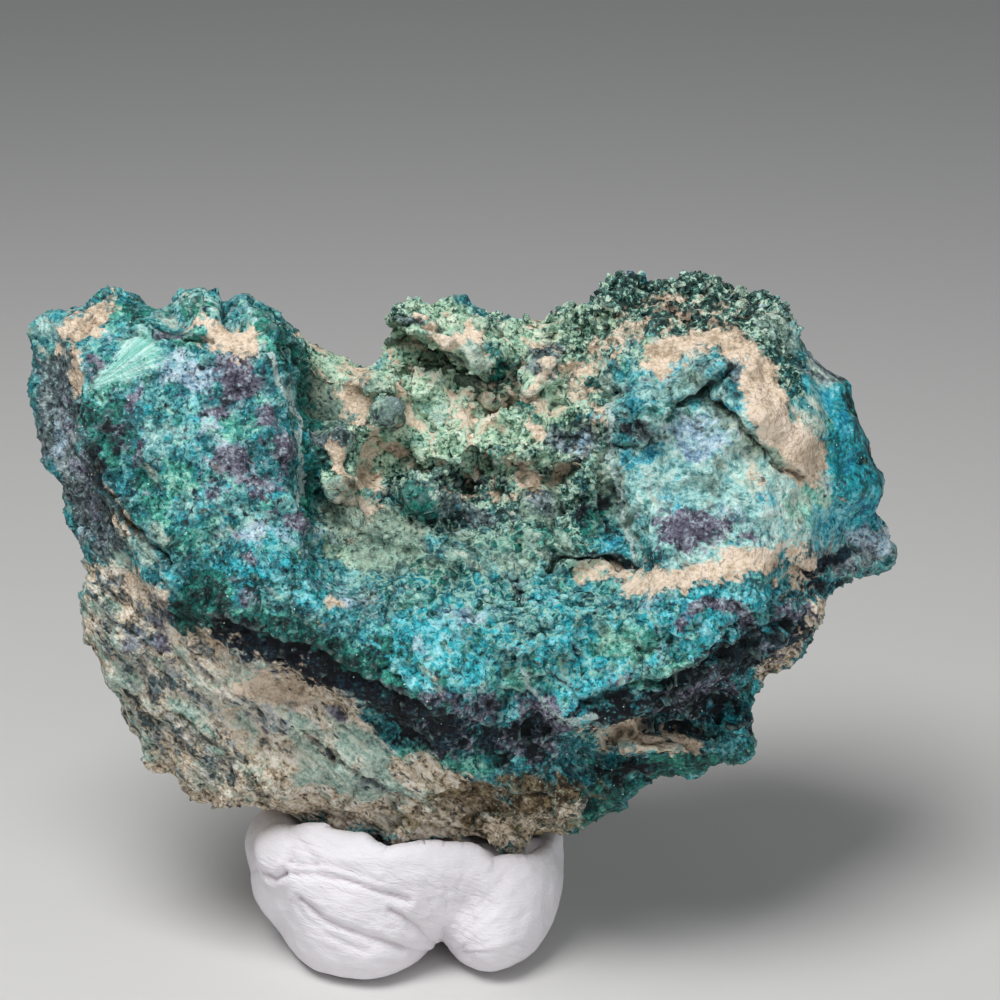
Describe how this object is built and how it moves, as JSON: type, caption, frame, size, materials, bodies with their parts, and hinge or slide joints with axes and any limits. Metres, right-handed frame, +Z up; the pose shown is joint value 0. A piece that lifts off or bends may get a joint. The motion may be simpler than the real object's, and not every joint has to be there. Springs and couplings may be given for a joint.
{
  "type": "chrysocolla specimen",
  "caption": "Rough chrysocolla hand specimen with a hollowed, crusted face, pressed into a lump of white display putty that it stands in.",
  "frame": {"origin": "middle of the putty's flat underside, on the surface that the specimen stands on", "axes": "+Z up; +X across the stone's broad face, its longest way; the face looks towards -Y and leans back by 18 degrees"},
  "size_m": [0.0882, 0.0459, 0.0674],
  "materials": {
    "stone": "rough turquoise and green mineral crust with tan clay and dark specks",
    "putty": "matte white kneaded putty"
  },
  "bodies": {
    "root": {"chrysocolla_stone": "stone", "display_putty": "putty"}
  },
  "joints": []
}
